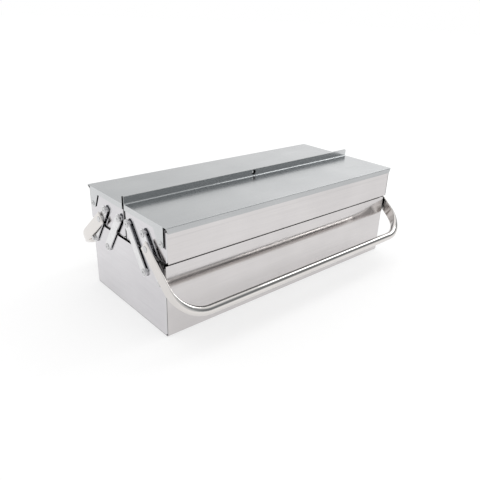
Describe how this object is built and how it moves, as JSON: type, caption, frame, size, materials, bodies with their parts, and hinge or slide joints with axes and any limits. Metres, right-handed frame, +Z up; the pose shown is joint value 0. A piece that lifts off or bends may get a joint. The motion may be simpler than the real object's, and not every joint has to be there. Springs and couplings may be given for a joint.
{
  "type": "cantilever tool box",
  "caption": "Folded stainless steel tool box whose two lidded trays swing out on cantilever links, with a tube handle along each side.",
  "frame": {"origin": "middle of the base's underside", "axes": "+X along the box's length to its right end, -Y towards the front tray and its handle, +Z up"},
  "size_m": [0.444, 0.2794, 0.1576],
  "materials": {
    "sheet_panel": "bright polished stainless sheet, nearly mirror-like, with a very fine grain along the box",
    "link_bar": "polished flat stainless bar with eased edges",
    "rivet": "plain bright steel rivets, washers and collars",
    "tube": "polished round stainless tube with flattened ends"
  },
  "bodies": {
    "base": {"base_wrapper": "sheet_panel", "base_left_end": "sheet_panel", "base_right_end": "sheet_panel", "base_outer_pivot_rivets": "rivet", "base_inner_pivot_rivets": "rivet", "base_pivot_spacers": "rivet"},
    "front_outer_links": {"front_outer_link_left": "link_bar", "front_outer_link_right": "link_bar", "front_handle_rivets": "rivet", "front_handle_washers": "rivet"},
    "front_inner_links": {"front_inner_link_left": "link_bar", "front_inner_link_right": "link_bar"},
    "front_tray": {"front_tray_wrapper": "sheet_panel", "front_tray_left_end": "sheet_panel", "front_tray_right_end": "sheet_panel", "front_tray_pivot_rivets": "rivet", "front_tray_pivot_collars": "rivet", "front_lid_rivets": "rivet", "front_lid_washers": "rivet"},
    "front_lid": {"front_lid": "sheet_panel"},
    "front_handle": {"front_handle": "tube"},
    "rear_outer_links": {"rear_outer_link_left": "link_bar", "rear_outer_link_right": "link_bar", "rear_handle_rivets": "rivet", "rear_handle_washers": "rivet"},
    "rear_inner_links": {"rear_inner_link_left": "link_bar", "rear_inner_link_right": "link_bar"},
    "rear_tray": {"rear_tray_wrapper": "sheet_panel", "rear_tray_left_end": "sheet_panel", "rear_tray_right_end": "sheet_panel", "rear_tray_pivot_rivets": "rivet", "rear_tray_pivot_collars": "rivet", "rear_lid_rivets": "rivet", "rear_lid_washers": "rivet"},
    "rear_lid": {"rear_lid": "sheet_panel"},
    "rear_handle": {"rear_handle": "tube"}
  },
  "joints": [
    {"name": "front_swing", "type": "hinge", "parent": "base", "child": "front_outer_links", "pos_m": [0, -0.0848, 0.073], "axis": [1, 0, 0], "range_deg": [0, 45]},
    {"name": "front_inner_swing", "type": "hinge", "parent": "base", "child": "front_inner_links", "pos_m": [0, -0.04706, 0.073], "axis": [1, 0, 0], "range_deg": [0, 45]},
    {"name": "front_tray_pivot", "type": "hinge", "parent": "front_outer_links", "child": "front_tray", "pos_m": [0, -0.04854, 0.125], "axis": [1, 0, 0], "range_deg": [-45, 0]},
    {"name": "front_lid_hinge", "type": "hinge", "parent": "front_tray", "child": "front_lid", "pos_m": [0, -0.0853, 0.124], "axis": [1, 0, 0], "range_deg": [0, 100]},
    {"name": "front_handle_lift", "type": "hinge", "parent": "front_outer_links", "child": "front_handle", "pos_m": [0, -0.05941, 0.10941], "axis": [-1, 0, 0], "range_deg": [0, 162.8]},
    {"name": "rear_swing", "type": "hinge", "parent": "base", "child": "rear_outer_links", "pos_m": [0, 0.0848, 0.073], "axis": [-1, 0, 0], "range_deg": [0, 45]},
    {"name": "rear_inner_swing", "type": "hinge", "parent": "base", "child": "rear_inner_links", "pos_m": [0, 0.04706, 0.073], "axis": [-1, 0, 0], "range_deg": [0, 45]},
    {"name": "rear_tray_pivot", "type": "hinge", "parent": "rear_outer_links", "child": "rear_tray", "pos_m": [0, 0.04854, 0.125], "axis": [-1, 0, 0], "range_deg": [-45, 0]},
    {"name": "rear_lid_hinge", "type": "hinge", "parent": "rear_tray", "child": "rear_lid", "pos_m": [0, 0.0853, 0.124], "axis": [-1, 0, 0], "range_deg": [0, 100]},
    {"name": "rear_handle_lift", "type": "hinge", "parent": "rear_outer_links", "child": "rear_handle", "pos_m": [0, 0.05941, 0.10941], "axis": [1, 0, 0], "range_deg": [0, 162.8]}
  ],
  "couplings": [
    {"joint": "front_inner_swing", "follows": "front_swing", "ratio": 1},
    {"joint": "front_tray_pivot", "follows": "front_swing", "ratio": -1},
    {"joint": "rear_inner_swing", "follows": "rear_swing", "ratio": 1},
    {"joint": "rear_tray_pivot", "follows": "rear_swing", "ratio": -1}
  ]
}
